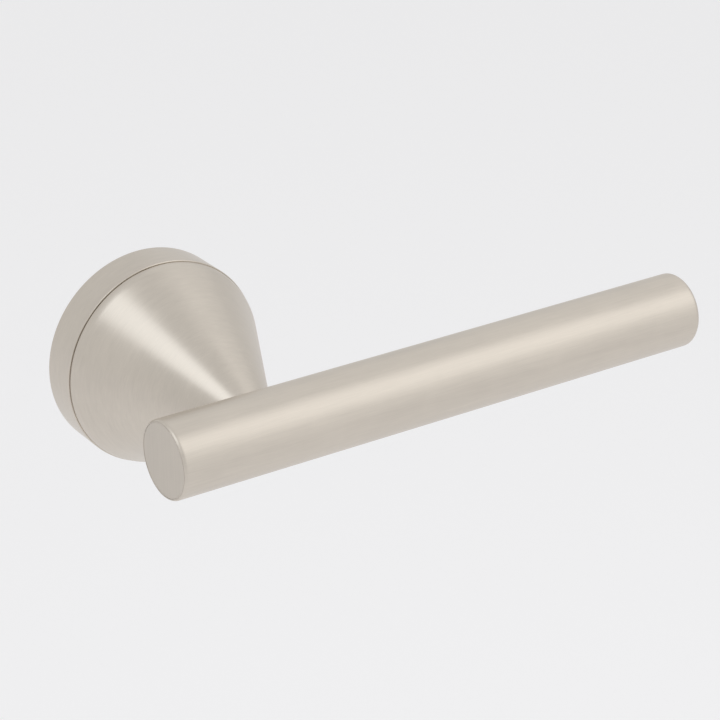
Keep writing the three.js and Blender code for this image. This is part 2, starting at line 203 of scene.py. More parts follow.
def eared(radius):
    """A disc with a rounded ear above and below it."""

    def section(angle, along):
        across = SCREW_REACH * abs(math.cos(angle))
        if across >= LUG_RADIUS:
            return radius
        ear = SCREW_REACH * abs(math.sin(angle)) + math.sqrt(LUG_RADIUS**2 - across**2)
        return max(radius, ear)

    return section


def threaded(radius, start, end, pitch, depth):
    """Corners of a screw thread between two places. Depth is negative on the outside of a screw."""
    per_turn = 8

    def section(angle, along):
        groove = 0.5 - 0.5 * math.cos(TURN * along / pitch - angle)
        run_out = ramp(min(abs(along - start), abs(end - along)) / pitch)
        return radius + depth * groove * run_out

    steps = round(abs(end - start) / pitch * per_turn)
    return [(section, start + (end - start) * k / steps) for k in range(steps + 1)]


# ---- places: where a point of a turned piece's outline goes ----


def beside_spindle(x, z):
    """Round an axis that is parallel to the spindle's."""

    def place(radius, out, angle):
        return Vector((x + radius * math.cos(angle), -out, z + radius * math.sin(angle))) * MM

    return place


about_spindle = beside_spindle(0, 0)


def about_bar(radius, x, angle):
    return Vector((x, -BAR_OUT + radius * math.cos(angle), radius * math.sin(angle))) * MM


def down_from_spindle(radius, down, angle):
    return Vector((radius * math.cos(angle), -GRUB_OUT + radius * math.sin(angle), -down)) * MM


def on_circle(reach, degrees):
    angle = math.radians(degrees)
    return reach * math.cos(angle), reach * math.sin(angle)


# ---- meshes ----


def new_piece(name, bm, smooth_angle=SHARP_ANGLE):
    """A mesh object from a bmesh, with its faces pointing out and its sharp edges marked."""
    bmesh.ops.remove_doubles(bm, verts=bm.verts, dist=1e-7)
    bmesh.ops.recalc_face_normals(bm, faces=bm.faces)
    mesh = bpy.data.meshes.new(name)
    bm.to_mesh(mesh)
    bm.free()
    mesh.shade_smooth()
    mesh.set_sharp_from_angle(angle=math.radians(smooth_angle))
    piece = bpy.data.objects.new(name, mesh)
    bpy.context.scene.collection.objects.link(piece)
    return piece


def grid_mesh(rows, closed_rows):
    """A bmesh over rows of points, each row a closed loop or a single point."""
    bm = bmesh.new()
    loops = [[bm.verts.new(p) for p in row] for row in rows]
    pairs = list(zip(loops, loops[1:]))
    if closed_rows:
        pairs.append((loops[-1], loops[0]))
    for first, second in pairs:
        for k in range(max(len(first), len(second))):
            corners = []
            for loop, order in ((first, (k, k + 1)), (second, (k + 1, k))):
                for index in order:
                    vertex = loop[index % len(loop)]
                    if vertex not in corners:
                        corners.append(vertex)
            if len(corners) > 2:
                bm.faces.new(corners)
    return bm


def turned(name, corners, place=about_spindle, segments=MEDIUM):
    """A piece turned about an axis: solid if its outline starts and ends on it, or else a ring."""
    on_axis = corners[0][0] == 0 and corners[-1][0] == 0
    rows = []
    for number, offset, along in rounded(corners, closed=not on_axis):
        shape = corners[number][0]
        on_centre = shape == 0 and abs(offset) < 1e-9
        row = []
        for k in range(1 if on_centre else segments):
            angle = TURN * k / segments
            row.append(place(radius_at(shape, angle, along) + offset, along, angle))
        rows.append(row)
    return new_piece(name, grid_mesh(rows, closed_rows=not on_axis))


def swept(name, path, radius, sides=16):
    """A round wire along a path of points, with its two ends slightly rounded."""
    last = len(path) - 1
    angles = [TURN * k / sides for k in range(sides)]
    normal = (path[1] - path[0]).orthogonal()
    rows = [[path[0] * MM]]
    for i, point in enumerate(path):
        tangent = (path[min(i + 1, last)] - path[max(i - 1, 0)]).normalized()
        normal = (normal - tangent * normal.dot(tangent)).normalized()
        across = tangent.cross(normal)
        size = radius * (0.8 if i in (0, last) else 1)
        circle = [(normal * math.cos(a) + across * math.sin(a)) * size for a in angles]
        rows.append([(point + arm) * MM for arm in circle])
    rows.append([path[-1] * MM])
    return new_piece(name, grid_mesh(rows, closed_rows=False), smooth_angle=50)


def combine(piece, operation, tools):
    """Joins the tool objects to the piece, or cuts them out of it, exactly, and deletes them."""
    bm = bmesh.new()
    for tool in tools:
        bm.from_mesh(tool.data)
        bpy.data.objects.remove(tool)
    mesh = bpy.data.meshes.new("tools")
    bm.to_mesh(mesh)
    bm.free()
    joined = bpy.data.objects.new("tools", mesh)
    bpy.context.scene.collection.objects.link(joined)
    change = piece.modifiers.new("combine", "BOOLEAN")
    change.operation = operation
    change.solver = "EXACT"
    change.object = joined
    graph = bpy.context.evaluated_depsgraph_get()
    made = bpy.data.meshes.new_from_object(piece.evaluated_get(graph))
    piece.modifiers.clear()
    piece.data = made
    bpy.data.objects.remove(joined)
    piece.data.set_sharp_from_angle(angle=math.radians(SHARP_ANGLE))
    return piece


def cut(piece, *tools):
    return combine(piece, "DIFFERENCE", tools)


def drill(radius, start, end, place=about_spindle, segments=SMALL):
    """A cutter for a round hole."""
    return turned("drill", [(0, start), (radius, start), (radius, end), (0, end)], place, segments)


def grub_hole_cutter():
    radius, top, bottom = 3.15, 3, 30
    return drill(radius, top, bottom, down_from_spindle)


# ---- the neck ----


def neck_profile():
    """The rim's rounded edge, the shoulder and the start of the cone, as (radius, out) points."""
    bevel, bevel_steps = NECK["bevel"], 4
    shoulder, shoulder_steps = NECK["shoulder"], 12
    first = math.asin((NECK_BACK + bevel - NECK["shoulder_out"]) / shoulder)
    edge_radius = NECK["radius"] - shoulder * (1 - math.cos(first))
    points = []
    for k in range(bevel_steps):
        angle = math.pi / 2 * k / bevel_steps
        radius = edge_radius - bevel * (1 - math.sin(angle))
        points.append((radius, NECK_BACK + bevel * (1 - math.cos(angle))))
    for k in range(shoulder_steps + 1):
        angle = first + (NECK_HALF_ANGLE - first) * k / shoulder_steps
        radius = NECK["radius"] - shoulder * (1 - math.cos(angle))
        points.append((radius, NECK["shoulder_out"] + shoulder * math.sin(angle)))
    return points


def neck_hollow(cone, cone_out):
    """The corners of the neck's inside, from the bolt's hole back to the rim."""
    bolt_seat, head_bore = 40.4, 5.1
    sleeve_front, sleeve_bore = 34.1, 8.1
    hub_face, hub_radius = 12.9, 11
    cavity_floor, rim_bore = 32, 23.6
    return [
        (BOLT_HOLE, bolt_seat),
        (head_bore, bolt_seat, 0.2),
        (head_bore, sleeve_front),
        (sleeve_bore, sleeve_front, 0.2),
        (sleeve_bore, hub_face, 0.3),
        (hub_radius, hub_face, 0.4),
        (hub_radius, cavity_floor, 0.8),
        (cone(cavity_floor) - NECK["wall"], cavity_floor, 0.8),
        (cone(cone_out + 2) - NECK["wall"], cone_out + 2, 1.5),
        (rim_bore, NECK_BACK + 1, 0.6),
        (rim_bore, NECK_BACK, 0.2),
    ]


def build_neck():
    """One closed skin: up the cone, over the saddle for the bar, and down the hollow inside."""
    profile = neck_profile()
    cone_radius, cone_out = profile[-1]
    slope = math.tan(NECK_HALF_ANGLE)
    saddle = BAR_RADIUS + SADDLE_GAP
    angles = [TURN * k / FINE for k in range(FINE)]

    def cone(out):
        return cone_radius - slope * (out - cone_out)

    def saddle_out(radius, angle):
        return BAR_OUT - math.sqrt(saddle**2 - (radius * math.sin(angle)) ** 2)

    def meeting(angle):
        """How far out the cone meets the saddle at this angle."""
        out = BAR_OUT - saddle
        for _ in range(30):
            out = saddle_out(cone(out), angle)
        return out

    meets = [meeting(angle) for angle in angles]
    rows = [[about_spindle(radius, out, a) for a in angles] for radius, out in profile]
    cone_steps, saddle_steps = 24, 6
    broken = 0.22  # taken off the edge between them, which leaves a fine groove round the bar
    for step in range(1, cone_steps + 1):
        row = []
        for angle, end in zip(angles, meets):
            out = cone_out + (end - broken - cone_out) * step / cone_steps
            row.append(about_spindle(cone(out), out, angle))
        rows.append(row)
    for step in range(saddle_steps + 1):
        row = []
        for angle, end in zip(angles, meets):
            rim = cone(end) - broken
            radius = rim + (BOLT_HOLE - rim) * step / saddle_steps
            row.append(about_spindle(radius, saddle_out(radius, angle), angle))
        rows.append(row)
    inside = neck_hollow(cone, cone_out)
    for number, offset, out in rounded(inside, closed=False):
        rows.append([about_spindle(inside[number][0] + offset, out, a) for a in angles])
    neck = new_piece("neck_shell", grid_mesh(rows, closed_rows=True))
    return cut(neck, grub_hole_cutter())


# ---- the bar and its end caps ----


def build_bar():
    """A tube with a seat for a cap at each end, and the bolt's hole on the neck's side."""
    bore, bolt_way = BAR_RADIUS - 1.5, 3.15
    seat, depth = CAP_RADIUS + 0.03, 1.25
    chamfer = 0.42
    half = [
        (bore, depth, 0.1),
        (seat, depth),
        (seat, 0, 0.03),
        (BAR_RADIUS - chamfer, 0, 0.1),
        (BAR_RADIUS, chamfer + 0.08, 0.9),
    ]
    near = [(radius, BAR_NEAR + inward, *fillet) for radius, inward, *fillet in half]
    far = [(radius, BAR_FAR - inward, *fillet) for radius, inward, *fillet in reversed(half)]
    bar = turned("bar_tube", near + far, about_bar, FINE)
    return cut(bar, drill(bolt_way, BAR_OUT - BAR_RADIUS - 1, BAR_OUT - bore + 1))


def build_end_cap(name, node, side):
    """A plug for one end of the bar; side is -1 at the near end and 1 at the free end."""
    low, high = box_mm(node)
    face, back = (low.x, high.x) if side < 0 else (high.x, low.x)
    thickness, spigot = 1.1, 7.8
    flange = face - side * thickness
    corners = [
        (0, face),
        (CAP_RADIUS, face, 0.04),
        (CAP_RADIUS, flange, 0.1),
        (spigot, flange),
        (spigot, back, 0.4),
        (0, back),
    ]
    return turned(name, corners, about_bar, FINE)


def build_bar_plug():
    """The anchor inside the bar, with a blind hole for the neck's bolt."""
    low, high = box_mm("bar_anchor")
    radius, edge = (high.z - low.z) / 2, 0.6
    before_bar, hole_end = 40, 61
    corners = [(0, low.x), (radius, low.x, edge), (radius, high.x, edge), (0, high.x)]
    plug = turned("bar_plug", corners, about_bar)
    return cut(plug, drill(BOLT_HOLE, before_bar, hole_end))


# ---- screws, sleeve and spindle inside the neck ----


def build_neck_screw():
    """A socket-head screw with a knurled head."""
    back, tip = outs("neck_bolt")
    head, head_height, shank = 5, 6, 3
    seat = back + head_height
    socket, socket_depth = hexagon(5), 3
    pitch, thread_length = 1, 14
    teeth, tooth = 32, 0.06

    def knurled(angle, along):
        return head - tooth + tooth * math.cos(teeth * angle)

    corners = [
        (0, back + socket_depth + 0.4),
        (socket, back + socket_depth),
        (socket, back, 0.15),
        (head - 0.5, back, 0.2),
        (knurled, back + 0.7),
        (knurled, seat - 0.3),
        (head - 0.2, seat, 0.1),
        (shank, seat, 0.25),
        *threaded(shank, tip - thread_length, tip - 0.5, pitch, -0.55),
        (shank - 0.5, tip),
        (0, tip),
    ]
    return turned("neck_screw", corners, segments=FINE)


def build_set_screw():
    """The grub screw, with a cup at its tip and a hexagon socket that faces down."""
    low, high = box_mm("grub_screw")
    tip, face = -high.z, -low.z
    radius, pitch = 3, 1
    socket, socket_depth = hexagon(3), 3
    corners = [
        (0, tip + 0.7),
        (1.5, tip, 0.08),
        (radius - 0.8, tip, 0.1),
        (radius - 0.45, tip + 0.4),
        *threaded(radius, tip + 0.5, face - 0.3, pitch, -0.5),
        (radius - 0.35, face, 0.08),
        (socket, face, 0.12),
        (socket, face - socket_depth),
        (0, face - socket_depth - 0.6),
    ]
    return turned("set_screw", corners, down_from_spindle, SMALL)


def build_sleeve():
    back, front = outs("hub_sleeve")
    radius, hole = 8, square(SOCKET_HALF, 0.3)
    corners = [(hole, back, 0.2), (radius, back, 0.5), (radius, front, 0.4), (hole, front, 0.2)]
    return cut(turned("sleeve_insert", corners), grub_hole_cutter())


def build_spindle():
    back, front = outs("spindle")
    half, bevel = 3.95, 0.8
    corners = [
        (0, back),
        (square(half - bevel, 0.2), back, 0.15),
        (square(half, 0.35), back + bevel, 0.2),
        (square(half, 0.35), front - 0.3, 0.1),
        (square(half - 0.3, 0.3), front, 0.1),
        (0, front),
    ]
    return turned("square_spindle", corners)


# ---- what turns in the rose ----


def tab_spans():
    return [(middle - TAB_HALF_WIDTH, middle + TAB_HALF_WIDTH) for middle in (90, 270)]


def build_driver():
    """The square-holed follower: a journal with a groove, a hub, and a flange with two tabs."""
    back, front = outs("spring_driver")
    journal, groove, hub = 8.7, 8.0, 8.4
    groove_back, groove_front = 0.35, 1.45
    flange_back, flange_radius, tab_radius = 8.2, 12, 12.9
    hole = square(SOCKET_HALF, 0.3)
    flange = bumps(flange_radius, tab_radius, tab_spans())
    corners = [
        (hole, back, 0.25),
        (journal, back, 0.04),
        (journal, groove_back),
        (groove, groove_back),
        (groove, groove_front),
        (journal, groove_front),
        (journal, WEB_FRONT, 0.1),
        (hub, WEB_FRONT),
        (hub, flange_back, 0.2),
        (flange, flange_back, 0.15),
        (flange, front, 0.2),
        (hole, front, 0.25),
    ]
    driver = turned("driver_hub", corners, segments=FINE)
    leg = beside_spindle(*on_circle(SPRING_REACH, FRONT_LEG))
    return cut(driver, drill(LEG_HOLE, flange_back - 1, front + 1, leg))


def wedge_cutter(half_width, reach, start, end):
    """A wedge that opens downwards from the spindle's axis, in degrees each side."""
    bm = bmesh.new()
    outline = [(0, 0), *(on_circle(reach, -90 + side * half_width) for side in (-1, 1))]
    rings = [[bm.verts.new(Vector((x, -out, z)) * MM) for x, z in outline] for out in (start, end)]
    bm.faces.new(rings[0])
    bm.faces.new(rings[1])
    for k in range(3):
        following = (k + 1) % 3
        bm.faces.new([rings[0][k], rings[0][following], rings[1][following], rings[1][k]])
    return new_piece("wedge", bm)


def build_clip():
    """The open ring in the driver's groove, with an eyelet at each end for pliers."""
    back, front = outs("driver_clip")
    inner, outer, edge = 8.1, 10.6, 0.12
    opening = 24  # degrees to each side of straight down
    wedge_reach = 20
    lug, lug_hole, thinner = 1.65, 0.6, 0.03
    lug_reach = (inner + outer) / 2 - 0.1
    corners = [(inner, back, edge), (outer, back, edge), (outer, front, edge), (inner, front, edge)]
    clip = turned("circlip", corners, segments=FINE)
    cut(clip, wedge_cutter(opening, wedge_reach, back - 1, front + 1))
    near, far = back + thinner, front - thinner
    eye = [(0, near), (lug, near, edge), (lug, far, edge), (0, far)]
    eyes, holes = [], []
    for angle in (-90 - opening, -90 + opening):
        place = beside_spindle(*on_circle(lug_reach, angle))
        eyes.append(turned("eye", eye, place, SMALL))
        holes.append(drill(lug_hole, back - 1, front + 1, place))
    combine(clip, "UNION", eyes)
    return cut(clip, drill(inner, back - 1, front + 1, segments=FINE), *holes)


def build_wave_ring():
    """A thin washer with three waves."""
    thickness, height, waves = 0.4, 0.2, 3
    low_out, high_out = outs("wave_washer")
    back = (low_out + high_out - thickness) / 2

    def wavy(radius, out, angle):
        return about_spindle(radius, out - height * math.sin(waves * angle), angle)

    front = back + thickness
    bore, rim, edge = 8.5, 10.8, 0.08
    corners = [(bore, back, edge), (rim, back, edge), (rim, front, edge), (bore, front, edge)]
    return turned("wave_ring", corners, wavy)


# ---- what stays on the door ----


def build_rose_ring():
    """The short round cover, with a lip turned in at its front."""
    inside, lip_bore, lip = 24.2, 21.5, RING_FRONT - 2.3
    bevel = 0.14
    corners = [
        (inside, 0, 0.15),
        (RING_RADIUS, 0, 0.3),
        (RING_RADIUS, RING_FRONT - bevel, 0.08),
        (RING_RADIUS - bevel, RING_FRONT, 0.05),
        (lip_bore, RING_FRONT, 0.2),
        (lip_bore, lip, 0.2),
        (inside, lip, 0.3),
    ]
    return turned("rose_cover", corners, segments=FINE)


def stop_spans():
    """Where the four stops stand: for each tab one at rest and one at the end of the travel."""
    spans = []
    for half in (0, 180):
        rest = half + 90 + TAB_HALF_WIDTH + STOP_PLAY
        end = half + 90 - TAB_HALF_WIDTH - STOP_PLAY - TRAVEL
        spans += [(rest, rest + STOP_WIDTH), (end - STOP_WIDTH, end)]
    return spans


def pocket_cutter(middle):
    """A drafted pocket with round corners in the back of the plate; middle is in degrees."""
    inner, outer, half_width, corner = 15.6, 22, 7, 1.1
    centre, depth = (inner + outer) / 2, 2.4
    steps = 5  # from one side of a corner to the other

    def ring(out, inset):
        tall = (outer - inner) / 2 - inset
        wide = math.radians(half_width) * centre - inset
        points = []
        for quarter, (u, v) in enumerate(((1, 1), (-1, 1), (-1, -1), (1, -1))):
            for k in range(steps + 1):
                angle = math.pi / 2 * (quarter + k / steps)
                across = u * (wide - corner) + corner * math.cos(angle)
                reach = centre + v * (tall - corner) + corner * math.sin(angle)
                x, z = on_circle(reach, middle - math.degrees(across / centre))
                points.append(Vector((x, -out, z)) * MM)
        return points

    middle_x, middle_z = on_circle(centre, middle)
    rows = [
        [Vector((middle_x, 1, middle_z)) * MM],
        ring(-1, -0.05),
        ring(0, 0),
        ring(2.0, 0.15),
        ring(2.3, 0.3),
        ring(depth, 0.55),
        [Vector((middle_x, -depth, middle_z)) * MM],
    ]
    return new_piece("pocket", grid_mesh(rows, closed_rows=False))


def countersunk_hole(place):
    """The cutter for a wood screw's hole, with its countersink on the front."""
    hole, sink = 1.9, 3.8
    sink_start, above = PLATE_FRONT - (sink - hole), PLATE_FRONT + 1
    corners = [
        (0, -1),
        (hole, -1),
        (hole, sink_start),
        (sink, PLATE_FRONT),
        (sink, above),
        (0, above),
    ]
    return turned("sink", corners, place, SMALL)


def post_hole(place):
    """The cutter for a post's stepped hole."""
    hole, head, seat, above = 3.3, 4.15, 5.35, 12
    corners = [(0, -1), (hole, -1), (hole, seat), (head, seat), (head, above), (0, above)]
    return turned("post_hole", corners, place, SMALL)


def build_plate():
    """The die casting under the ring: a rim with a groove, the spring's pocket, and its stops."""
    web_bore, clip_bore, clip_depth = 8.9, 12, 1.5
    pocket, stop_radius, stop_back = 13.2, 12.15, 6
    groove_floor, groove_back, groove_front = 22.9, 3.1, 5.1
    wall, wall_top = eared(LID_RADIUS), 9.5
    stops = bumps(pocket, stop_radius, stop_spans())
    corners = [
        (web_bore, clip_depth, 0.1),
        (clip_bore, clip_depth, 0.15),
        (clip_bore, 0, 0.3),
        (PLATE_RADIUS, 0, 0.3),
        (PLATE_RADIUS, groove_back, 0.1),
        (groove_floor, groove_back, 0.2),
        (groove_floor, groove_front, 0.2),
        (PLATE_RADIUS, groove_front, 0.1),
        (PLATE_RADIUS, PLATE_FRONT, 0.5),
        (wall, PLATE_FRONT, 0.4),
        (wall, wall_top, 0.25),
        (stops, wall_top, 0.1),
        (stops, stop_back),
        (pocket, stop_back),
        (pocket, WEB_FRONT, 0.3),
        (web_bore, WEB_FRONT, 0.1),
    ]
    plate = turned("plate_casting", corners, segments=FINE * 2)
    screw_depth, pockets = 4, 8
    leg = beside_spindle(*on_circle(SPRING_REACH, BACK_LEG))
    tools = [drill(LEG_HOLE, -1, WEB_FRONT + 1, leg)]
    for angle in (90, 270):
        screw = beside_spindle(*on_circle(SCREW_REACH, angle))
        tools.append(drill(LID_SCREW_HOLE, screw_depth, wall_top + 1, screw))
    for angle in (0, 180):
        tools.append(post_hole(beside_spindle(*on_circle(POST_REACH, angle))))
    for angle in (45, 135, 225, 315):
        tools.append(countersunk_hole(beside_spindle(*on_circle(POST_REACH, angle))))
    for number in range(pockets):
        tools.append(pocket_cutter((number + 0.5) * 360 / pockets))
    return cut(plate, *tools)


def build_post(name, angle):
    """A post with a tapped hole, held by its head in the plate."""
    back, front = outs("threaded_post_right")
    radius, head, seat = 3.2, 4.05, 5.45
    drilled, bore_end = 1.65, back + 12
    pitch = 0.7
    corners = [
        (0, front),
        (head, front, 0.25),
        (head, seat, 0.1),
        (radius, seat),
        (radius, back, 0.4),
        (drilled + 0.45, back, 0.08),
        (drilled, back + 0.45),
        *threaded(drilled, back + 0.5, bore_end - 2, pitch, 0.36),
        (drilled, bore_end - 0.9),
        (0, bore_end),
    ]
    return turned(name, corners, beside_spindle(*on_circle(POST_REACH, angle)), SMALL)


def build_lid():
    """The pressed cover over the spring, held by a screw in each ear."""
    back, front = outs("spring_cover")
    bore = 9.9
    outline = eared(LID_RADIUS)
    corners = [
        (bore, back, 0.2),
        (outline, back, 0.1),
        (outline, front, 0.35),
        (bore, front, 0.1),
    ]
    lid = turned("spring_lid", corners, segments=FINE)
    places = [beside_spindle(*on_circle(SCREW_REACH, angle)) for angle in (90, 270)]
    return cut(lid, *(drill(LID_SCREW_HOLE, back - 1, front + 1, place) for place in places))


def build_lid_screw(name, node, angle):
    """A slotted pan-head screw."""
    tip, head_front = outs(node)
    radius, head, head_height = 1.25, 2.2, 1.4
    seat = head_front - head_height
    pitch, slot_width = 0.5, 0.6
    x, z = on_circle(SCREW_REACH, angle)
    corners = [
        (0, tip),
        (radius - 0.3, tip, 0.1),
        *threaded(radius, tip + 0.3, seat - 0.2, pitch, -0.28),
        (radius, seat),
        (head, seat, 0.15),
        (head, head_front, 0.6),
        (0, head_front),
    ]
    screw = turned(name, corners, beside_spindle(x, z), SMALL)
    bm = bmesh.new()
    bmesh.ops.create_cube(bm, size=1)
    slot = Matrix.Diagonal((head * 2.5 * MM, head_height * MM, slot_width * MM, 1))
    middle = Matrix.Translation(Vector((x, -head_front, z)) * MM)
    bmesh.ops.transform(bm, matrix=middle @ slot, verts=bm.verts)
    return cut(screw, new_piece("slot", bm))


def build_bush():
    back, front = outs("bearing_bush")
    bore, spigot, flange, seat = 8.15, 9.8, 12, 10.8
    corners = [
        (bore, back, 0.25),
        (spigot, back, 0.25),
        (spigot, seat),
        (flange, seat, 0.12),
        (flange, front, 0.25),
        (bore, front, 0.3),
    ]
    return turned("flange_bush", corners)


def build_seal():
    """The rubber ring, with the faint ridge that its mould leaves round it."""
    back, front = outs("grip_ring")
    middle_out = (back + front) / 2
    cord, below_ridge = 0.5, 0.985
    middle = box_mm("grip_ring")[1].x - cord
    steps = 20
    corners = []
    for k in range(steps):
        angle = TURN * k / steps
        size = cord * (below_ridge if k % (steps // 2) else 1)
        corners.append((middle + size * math.cos(angle), middle_out + size * math.sin(angle)))
    return turned("seal_ring", corners, segments=FINE)


def build_spring():
    """A torsion spring: a leg into the plate's web, a coil, and a leg into the driver's flange."""
    wire, bend = 0.75, 1.0
    back, front, turns = 3.8, 7.1, 2.75
    leg_back, leg_front = 1.8, 9.1
    first = math.radians(BACK_LEG)
    last = first + TURN * turns
    bend_angle = bend / SPRING_REACH
    path = []

    def add(angle, out):
        x, z = SPRING_REACH * math.cos(angle), SPRING_REACH * math.sin(angle)
        path.append(Vector((x, -out, z)))

    leg_steps, bend_steps, coil_steps = 6, 6, 110
    for k in range(leg_steps):
        add(first, leg_back + (back - bend - leg_back) * k / leg_steps)
    for k in range(bend_steps):
        turn = math.pi / 2 * k / bend_steps
        add(first + bend_angle * (1 - math.cos(turn)), back - bend + bend * math.sin(turn))
    for k in range(coil_steps + 1):
        share = k / coil_steps
        angle = first + bend_angle + (last - first - 2 * bend_angle) * share
        add(angle, back + (front - back) * share)
    for k in range(1, bend_steps + 1):
        turn = math.pi / 2 * k / bend_steps
        add(last - bend_angle * (1 - math.sin(turn)), front + bend * (1 - math.cos(turn)))
    for k in range(1, leg_steps + 1):
        add(last, front + bend + (leg_front - front - bend) * k / leg_steps)
    return swept("coil_spring", path, wire)


# ---- materials ----


def add(material, kind, inputs=None, **settings):
    """A new shader node. An input is a value, or another node's output to link to it."""
    made = material.node_tree.nodes.new(kind)
    for key, value in settings.items():
        setattr(made, key, value)
    for key, value in (inputs or {}).items():
        if isinstance(value, bpy.types.NodeSocket):
            material.node_tree.links.new(value, made.inputs[key])
        else:
            made.inputs[key].default_value = value
    return made


def new_material(name, **values):
    """A material and its Principled shader, with values set straight on the shader's sockets."""
    material = bpy.data.materials.new(name)
    material.use_nodes = True
    surface = material.node_tree.nodes["Principled BSDF"]
    for key, value in values.items():
        surface.inputs[key.replace("_", " ")].default_value = value
    return material, surface


def grain(material, x=1, y=1, z=1):
    """Object coordinates times these numbers: a low number draws the grain out that way."""
    place = add(material, "ShaderNodeTexCoord").outputs["Object"]
    return add(material, "ShaderNodeMapping", {"Vector": place, "Scale": (x, y, z)}).outputs[0]


def grain_round_spindle(material, along_line, across_line):
    """Coordinates whose grain runs in rings round the spindle, on the cone and the rose alike."""
    place = add(material, "ShaderNodeTexCoord").outputs["Object"]
    parts = add(material, "ShaderNodeSeparateXYZ", {0: place}).outputs
    flat = add(material, "ShaderNodeCombineXYZ", {0: parts[0], 2: parts[2]}).outputs[0]
    reach = add(material, "ShaderNodeVectorMath", {0: flat}, operation="LENGTH").outputs["Value"]
    facing = add(material, "ShaderNodeVectorMath", {0: flat}, operation="NORMALIZE").outputs[0]

    def times(value, amount):
        values = {0: value, 1: amount}
        return add(material, "ShaderNodeMath", values, operation="MULTIPLY").outputs[0]

    by_out = times(parts[1], math.cos(NECK_HALF_ANGLE) * across_line)
    by_reach = times(reach, math.sin(NECK_HALF_ANGLE) * across_line)
    slant = add(material, "ShaderNodeMath", {0: by_out, 1: by_reach}).outputs[0]
    lines = add(material, "ShaderNodeCombineXYZ", {1: slant}).outputs[0]
    round_it = {0: facing, "Scale": along_line}
    facing = add(material, "ShaderNodeVectorMath", round_it, operation="SCALE").outputs[0]
    return add(material, "ShaderNodeVectorMath", {0: facing, 1: lines}).outputs[0]


def noise(material, vector, scale=1.0, detail=3.0, roughness=0.6):
    settings = {"Vector": vector, "Scale": scale, "Detail": detail, "Roughness": roughness}
    return add(material, "ShaderNodeTexNoise", settings).outputs[0]


NOISE_LOW, NOISE_HIGH = 0.3, 0.7  # nearly all of a noise's values lie between these


def spread(material, value, low, high):
    """Turns a noise's middle values into a range of numbers."""
    settings = {"Value": value, "From Min": NOISE_LOW, "From Max": NOISE_HIGH}
    settings |= {"To Min": low, "To Max": high}
    return add(material, "ShaderNodeMapRange", settings).outputs[0]


def tint(material, value, dark, light):
    """Turns a noise's middle values into a range of colours."""
    made = add(material, "ShaderNodeValToRGB", {"Fac": value})
    ends = (NOISE_LOW, dark), (NOISE_HIGH, light)
    for element, (position, color) in zip(made.color_ramp.elements, ends):
        element.position = position
        element.color = (*color, 1)
    return made.outputs[0]


def blend_values(material, first, second, share):
    """A mix of two numbers, with this share of the second."""
    return add(material, "ShaderNodeMix", {0: share, 2: first, 3: second}).outputs[0]


def connect(material, surface, color, roughness, height, depth):
    """Links a colour, a roughness and a bump of this depth in metres to the shader."""
    links = material.node_tree.links
    links.new(color, surface.inputs["Base Color"])
    links.new(roughness, surface.inputs["Roughness"])
    bump = add(material, "ShaderNodeBump", {"Height": height, "Strength": 1.0, "Distance": depth})
    links.new(bump.outputs[0], surface.inputs["Normal"])


def shade(color, amount):
    return tuple(channel * amount for channel in color)


NICKEL = (0.63, 0.577, 0.51)


def brushed_nickel(name, grains, roughness, axis, turn=0.0, anisotropy=0.4, color=NICKEL):
    """Satin nickel with a fine and a broad grain; its tangent goes round the given axis."""
    tone_spread, roughness_spread, scratch_depth = 0.08, 0.045, 5e-6
    material, surface = new_material(
        name, Metallic=1, Anisotropic=anisotropy, Anisotropic_Rotation=turn
    )
    make_grain, fine, broad = grains
    scratches = noise(material, make_grain(material, *fine), detail=4, roughness=0.65)
    bands = noise(material, make_grain(material, *broad), detail=2)
    handled = noise(material, grain(material), scale=70, detail=3)
    streaks = blend_values(material, scratches, bands, 0.4)
    mottle = blend_values(material, streaks, handled, 0.35)
    dark, light = shade(color, 1 - tone_spread), shade(color, 1 + tone_spread)
    color = tint(material, mottle, dark, light)
    rough = blend_values(material, streaks, handled, 0.4)
    rough = spread(material, rough, roughness - roughness_spread, roughness + roughness_spread)
    connect(material, surface, color, rough, streaks, scratch_depth)
    tangent = add(material, "ShaderNodeTangent", direction_type="RADIAL", axis=axis)
    material.node_tree.links.new(tangent.outputs[0], surface.inputs["Tangent"])
    return material


def nickel_round():
    grains = (grain_round_spindle, (7, 4200), (4, 1100))
    return brushed_nickel("satin_nickel_turned", grains, 0.33, "Y", turn=0.25)


def nickel_long():
    grains = (grain, (150, 4200, 4200), (45, 1000, 1000))
    return brushed_nickel("satin_nickel_drawn", grains, 0.37, "X")


def nickel_face_painted_shade():
    grains = (grain, (400, 5200, 160), (100, 1000, 60))
    # The caps' end faces get the nickel darkened by 8%: painted shade, standing in for the darker
    # surroundings that these faces reflect.
    color = shade(NICKEL, 0.92)
    return brushed_nickel("satin_nickel_face_painted_shade", grains, 0.36, "X", anisotropy=0.0, color=color)


def cast_zinc():
    """A raw die casting: dull, slightly mottled, with a fine orange-peel skin."""
    material, surface = new_material("cast_zinc", Metallic=1)
    flow = noise(material, grain(material), scale=160, detail=4)
    skin = noise(material, grain(material), scale=2600, detail=3)
    both = blend_values(material, flow, skin, 0.45)
    color = tint(material, both, (0.4, 0.4, 0.39), (0.54, 0.54, 0.53))
    connect(material, surface, color, spread(material, both, 0.42, 0.6), skin, 1.4e-5)
    return material


def plated_steel():
    """Turned steel, zinc-plated: fine rings, and the faint yellow and blue of its passivation."""
    material, surface = new_material("plated_steel", Metallic=1)
    rings = noise(material, grain(material, 90, 6500, 90), detail=4)
    stain = noise(material, grain(material), scale=190, detail=3)
    mottle = blend_values(material, rings, stain, 0.6)
    color = tint(material, mottle, (0.43, 0.425, 0.385), (0.52, 0.53, 0.56))
    rough = spread(material, blend_values(material, rings, stain, 0.4), 0.24, 0.4)
    connect(material, surface, color, rough, rings, 2.5e-6)
    return material


